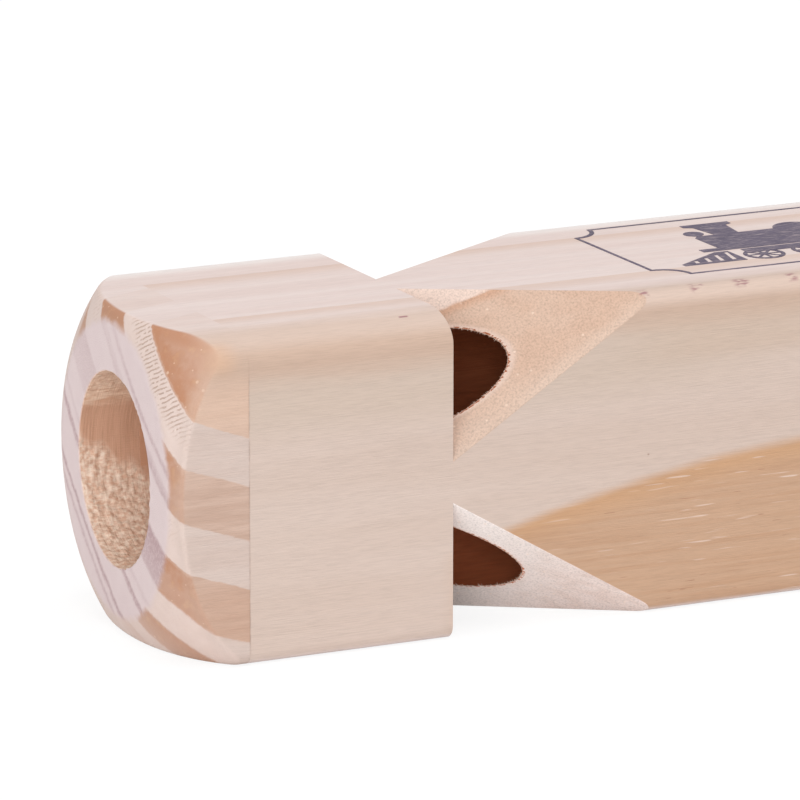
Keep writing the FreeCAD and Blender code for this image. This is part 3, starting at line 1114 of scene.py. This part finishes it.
def ink_from_outlines(name, outlines):
    """Fills flat outlines, with inner ones as openings, and lays them on the top face."""
    curve = bpy.data.curves.new(name, "CURVE")
    curve.dimensions = "2D"
    curve.fill_mode = "BOTH"
    curve.extrude = 0.02 * MM
    for outline_points in outlines:
        spline = curve.splines.new("POLY")
        spline.points.add(len(outline_points) - 1)
        for point, place in zip(spline.points, outline_points):
            point.co = ((place[0] + JOINT) * MM, place[1] * MM, 0.0, 1.0)
        spline.use_cyclic_u = True
    drawing = into_scene(name, curve)
    shown = drawing.evaluated_get(bpy.context.evaluated_depsgraph_get())
    mesh = bpy.data.meshes.new_from_object(shown)
    bpy.data.objects.remove(drawing)
    mesh.transform(Matrix.Translation((0.0, 0.0, (INK_TOP + HALF) * MM)))
    return into_scene(name, mesh)


def arc_points(centre, radius, start, end, count=16):
    """Points of an arc, its angles in degrees."""
    angles = np.radians(np.linspace(start, end, count))
    return [(centre[0] + radius * math.cos(a), centre[1] + radius * math.sin(a)) for a in angles]


print("ink lies", round(INK_TOP - HALF, 3), "mm over the wood")

# %% [markdown]
# The engine is drawn from its parts, as a child would: a slatted pilot in front, a funnel and a
# lamp, a boiler with two domes, a cab with an arched roof, and a tender with a heap of coal behind.

# %% Outline of the engine
RAIL = -9.4
FOOTPLATE = -1.9
BOILER_TOP = 4.6
FUNNEL = [(71.6, BOILER_TOP), (71.0, 8.9), (70.0, 9.4), (70.0, 10.4),
          (76.4, 10.4), (76.4, 9.4), (75.4, 8.9), (74.8, BOILER_TOP)]
WHISTLE = [(97.0, BOILER_TOP), (97.0, 6.5), (97.8, 6.5), (97.8, BOILER_TOP)]
CAB_ROOF = arc_points((108.0, -6.5), 16.0, 119, 61, 14)
ENGINE = (
    [(66.0, FOOTPLATE - 1.3), (66.0, FOOTPLATE), (68.6, FOOTPLATE), (68.6, BOILER_TOP - 0.8),
     (69.2, BOILER_TOP)] + FUNNEL + arc_points((82.4, BOILER_TOP - 0.6), 2.9, 168, 12)
    + arc_points((91.2, BOILER_TOP - 0.5), 2.1, 166, 14) + WHISTLE
    + [(101.6, BOILER_TOP), (101.6, CAB_ROOF[0][1])] + CAB_ROOF
    + [(114.6, CAB_ROOF[-1][1]), (114.6, FOOTPLATE), (116.0, FOOTPLATE), (116.0, FOOTPLATE - 1.3)])
CAB_WINDOWS = [[(x, 2.6), (x, 6.4), (x + 3.8, 6.4), (x + 3.8, 2.6)] for x in (103.6, 108.8)]
LAMP = arc_points((69.5, 5.95), 1.25, 0, 337.5)
CYLINDER = [(70.6, -5.6), (70.6, -3.6), (79.6, -3.6), (79.6, -5.6)]
ROD = [(86.4, -6.0), (86.4, -5.2), (104.6, -5.2), (104.6, -6.0)]
HEAP = [(x, 4.2 + 1.6 * abs(math.sin((x - 118.6) * 0.62))) for x in np.linspace(118.6, 133.8, 31)]
TENDER = [(117.2, -3.2), (117.2, 4.2)] + HEAP + [(136.6, 4.2), (136.6, -3.2)]
PILOT = [(60.6, RAIL + 0.7), (60.6, RAIL + 1.5), (67.0, -3.8), (68.8, -3.8), (68.8, RAIL + 0.7)]


def pilot_slots():
    """Four slanted gaps between the pilot's slats, each taller than the one before."""
    slots = []
    for i in range(4):
        foot = 62.4 + 1.6 * i
        tall = 1.2 + 0.85 * i
        slots.append([(foot, RAIL + 1.4), (foot + 0.22 * tall, RAIL + 1.4 + tall),
                      (foot + 0.22 * tall + 0.5, RAIL + 1.4 + tall), (foot + 0.6, RAIL + 1.4)])
    return slots


engine = ink_from_outlines("stamp_engine", [ENGINE, *CAB_WINDOWS, LAMP, CYLINDER, ROD, TENDER,
                                            PILOT, *pilot_slots()])
print("engine drawn with", len(engine.data.polygons), "faces")

# %% [markdown]
# Wheels repeat, so a recipe makes them: one spoked wheel is built from a ring, a hub and turned
# spokes, and set on a point for every axle at that axle's radius. The three differ a little in
# thickness, so that no two of their faces lie in one plane. The border follows a line, so it is a
# flat ribbon swept along it: a plain ticket shape, with a hollow quarter round out of each corner.

# %% Wheels and border of the stamp
AXLES = [(x, RAIL + radius, radius) for x, radius in (
    (72.0, 2.5), (78.4, 2.5), (86.4, 4.0), (95.5, 4.0), (104.6, 4.0),
    (120.0, 2.5), (126.9, 2.5), (133.8, 2.5))]
BORDER_ENDS = (56.0, 140.0)
BORDER_SIDES = (-12.3, 13.4)
CORNER_HOLLOW = 3.4


def border_line():
    """The border's line: hollow quarter rounds, which the four straight sides join."""
    (left, right), (low, high) = BORDER_ENDS, BORDER_SIDES
    corners = [(left, low, 0), (left, high, -90), (right, high, 180), (right, low, 90)]
    line = []
    for x, y, start in corners:
        line += arc_points((x, y), CORNER_HOLLOW, start, start + 90, 9)
    return line


def ribbon_recipe():
    """A flat ribbon along a line."""
    tree, given = new_recipe("ink_ribbon", {
        "Width": "NodeSocketFloat", "Thickness": "NodeSocketFloat",
        "Material": "NodeSocketMaterial"})
    start = given["Geometry"]
    section = start.node("GeometryNodeCurvePrimitiveQuadrilateral", {}, {
        0: given["Width"], 1: given["Thickness"]})
    line = start.node("GeometryNodeMeshToCurve", {}, {0: start})
    level = start.node("GeometryNodeSetCurveNormal", {"mode": "Z_UP"}, {0: line})
    ribbon = start.node("GeometryNodeCurveToMesh", {}, {0: level, 1: section})
    end_recipe(ribbon, given["Material"])
    return tree


def wheel_recipe():
    """A spoked wheel on each point, of the radius that the point carries."""
    tree, given = new_recipe("ink_wheels", {
        "Spokes": "NodeSocketInt", "Thickness": "NodeSocketFloat",
        "Material": "NodeSocketMaterial"})
    start = given["Geometry"]
    section = start.node("GeometryNodeCurvePrimitiveQuadrilateral", {}, {
        0: 0.2, 1: given["Thickness"]})
    rim = start.node("GeometryNodeCurvePrimitiveCircle", {}, {"Resolution": 28, "Radius": 0.9})
    rim = start.node("GeometryNodeCurveToMesh", {}, {0: rim, 1: section})
    hub = start.node("GeometryNodeMeshCylinder", {}, {
        "Vertices": 14, "Radius": 0.27, "Depth": given["Thickness"] * 1.3})
    spoke = start.node("GeometryNodeMeshCube", {}, {
        "Size": start.node("ShaderNodeCombineXYZ", {}, {
            0: 0.7, 1: 0.13, 2: given["Thickness"] * 0.7})})
    spoke = start.node("GeometryNodeTransform", {}, {0: spoke, "Translation": (0.5, 0.0, 0.0)})
    turns = start.node("GeometryNodePoints", {}, {"Count": given["Spokes"]})
    index = start.node("GeometryNodeInputIndex")
    angle = index * (2 * math.pi) / given["Spokes"]
    spokes = start.node("GeometryNodeInstanceOnPoints", {}, {
        "Points": turns, "Instance": spoke,
        "Rotation": start.node("ShaderNodeCombineXYZ", {}, {2: angle})})
    join = tree.nodes.new("GeometryNodeJoinGeometry")
    for part in (rim, hub, spokes):
        tree.links.new(part.socket, join.inputs[0])
    size = start.node("GeometryNodeInputNamedAttribute", {"data_type": "FLOAT"},
                      {"Name": "wheel_radius"})
    wheels = start.node("GeometryNodeInstanceOnPoints", {}, {
        "Points": start, "Instance": Flow(tree, join.outputs[0]),
        "Scale": start.node("ShaderNodeCombineXYZ", {}, {0: size, 1: size, 2: 1.0})})
    end_recipe(wheels, given["Material"])
    return tree


print(len(AXLES), "wheels and a border of", len(border_line()), "points")

# %% [markdown]
# Stamp ink on bare wood isn't even. The dark blue-grey film is thin where fibres stand proud, so
# the finish lets the wood's colour through in fine streaks and specks. Nothing is transparent: the
# colour alone does it, and so the ink looks the same in every renderer.

# %% Print the stamp
def ink_finish():
    """Blue-grey stamp ink with bare streaks and specks."""
    finish, place = new_finish("stamp_ink")
    bare = step(streaks(place, 1.8, 0.18, 3.0, 12.0), 0.5, 0.72) * 0.55
    speckle = step(streaks(place, 0.5, 0.3, 2.0, 2.0), 0.6, 0.75) * 0.35
    ink = blend(streaks(place, 3.0, 2.0), seen(84, 76, 96), seen(112, 102, 122))
    colour = blend(larger(bare, speckle), ink, seen(214, 196, 194))
    return close_finish(finish, colour, streaks(place, 1.0, 0.2), 0.55, 0.00002)


def stamp_piece(name, points, edges):
    """Points in the plane of the ink, for a recipe to work on."""
    mesh = bpy.data.meshes.new(name)
    mesh.from_pydata(in_frame([(x, y, INK_TOP) for x, y in points]).tolist(), edges, [])
    return into_scene(name, mesh)


stamp_ink = ink_finish()
border_points = border_line()
border = stamp_piece("stamp_border", border_points, [
    (i, (i + 1) % len(border_points)) for i in range(len(border_points))])
follow_recipe(border, ribbon_recipe(), {
    "Width": 0.55 * MM, "Thickness": 0.04 * MM, "Material": stamp_ink})
wheels = stamp_piece("stamp_wheels", [axle[:2] for axle in AXLES], [])
layer = wheels.data.attributes.new("wheel_radius", "FLOAT", "POINT")
layer.data.foreach_set("value", [axle[2] * MM for axle in AXLES])
follow_recipe(wheels, wheel_recipe(), {
    "Spokes": 8, "Thickness": 0.06 * MM, "Material": stamp_ink})
engine.data.materials.clear()
engine.data.materials.append(stamp_ink)
for piece in (engine, border, wheels):
    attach(piece, "root")

# %% [markdown]
# ## Floor and light
# The whistle lies on a white table under soft light from all round, a little stronger from above.
# The table's colour is white to the camera, so it fades into the background, and only a faint
# shadow stays where the stick lies on it.

# %% Floor, room and lamps
def white_table():
    """A large table that is nearly white to the camera and plain pale paint to the light."""
    finish = bpy.data.materials.new("white_table")
    finish.use_nodes = True
    finish.node_tree.nodes.clear()
    start = Flow(finish.node_tree)
    path = start.node("ShaderNodeLightPath").socket.node.outputs
    straight = Flow(finish.node_tree, path["Is Camera Ray"])
    for name in ("Is Glossy Ray", "Is Transmission Ray"):
        straight = larger(straight, Flow(finish.node_tree, path[name]))
    paint = start.node("ShaderNodeBsdfDiffuse", {}, {"Color": (0.9, 0.9, 0.9, 1.0)})
    glow = start.node("ShaderNodeEmission", {}, {"Color": (1.0, 1.0, 1.0, 1.0), "Strength": 1.08})
    mixed = start.node("ShaderNodeMixShader", {}, {0: straight * 0.8, 1: paint, 2: glow})
    start.node("ShaderNodeOutputMaterial", {}, {"Surface": mixed})
    size = 4.0
    mesh = bpy.data.meshes.new("white_table")
    mesh.from_pydata([(-size, -size, -5e-5), (size, -size, -5e-5), (size, size, -5e-5),
                      (-size, size, -5e-5)], [], [(0, 1, 2, 3)])
    mesh.materials.append(finish)
    into_scene("white_table", mesh)


def pale_room(strength):
    """Light of this strength from all round, in front of a white background."""
    world = bpy.data.worlds.new("pale_room")
    world.use_nodes = True
    world.node_tree.nodes.clear()
    start = Flow(world.node_tree)
    path = start.node("ShaderNodeLightPath").socket.node.outputs
    seen_straight = Flow(world.node_tree, path["Is Camera Ray"])
    light = start.node("ShaderNodeBackground", {}, {
        "Color": (1.0, 0.99, 0.985, 1.0), "Strength": strength})
    white = start.node("ShaderNodeBackground", {}, {
        "Color": (1.0, 1.0, 1.0, 1.0), "Strength": 1.0})
    mixed = start.node("ShaderNodeMixShader", {}, {0: seen_straight, 1: light, 2: white})
    start.node("ShaderNodeOutputWorld", {}, {"Surface": mixed})
    bpy.context.scene.world = world


def soft_lamp(name, place, aim, size, power):
    """A round lamp at a place, turned towards its aim; sizes in metres, power in watts."""
    lamp = bpy.data.lights.new(name, "AREA")
    lamp.shape = "DISK"
    lamp.size = size
    lamp.energy = power
    holder = into_scene(name, lamp)
    holder.location = place
    holder.rotation_euler = (Vector(aim) - Vector(place)).to_track_quat("-Z", "Y").to_euler()


white_table()
pale_room(0.55)
soft_lamp("window_above", (0.1, -0.25, 1.3), (0.0, 0.0, 0.0), 1.2, 7.5)
soft_lamp("window_left", (-1.2, -0.6, 0.5), (0.0, 0.0, 0.02), 0.9, 1.5)
soft_lamp("window_front", (-0.75, -1.0, 0.38), (0.0, 0.0, 0.02), 0.9, 5.5)
bpy.context.scene.view_settings.view_transform = "Standard"
print("floor, room and three lamps are set")
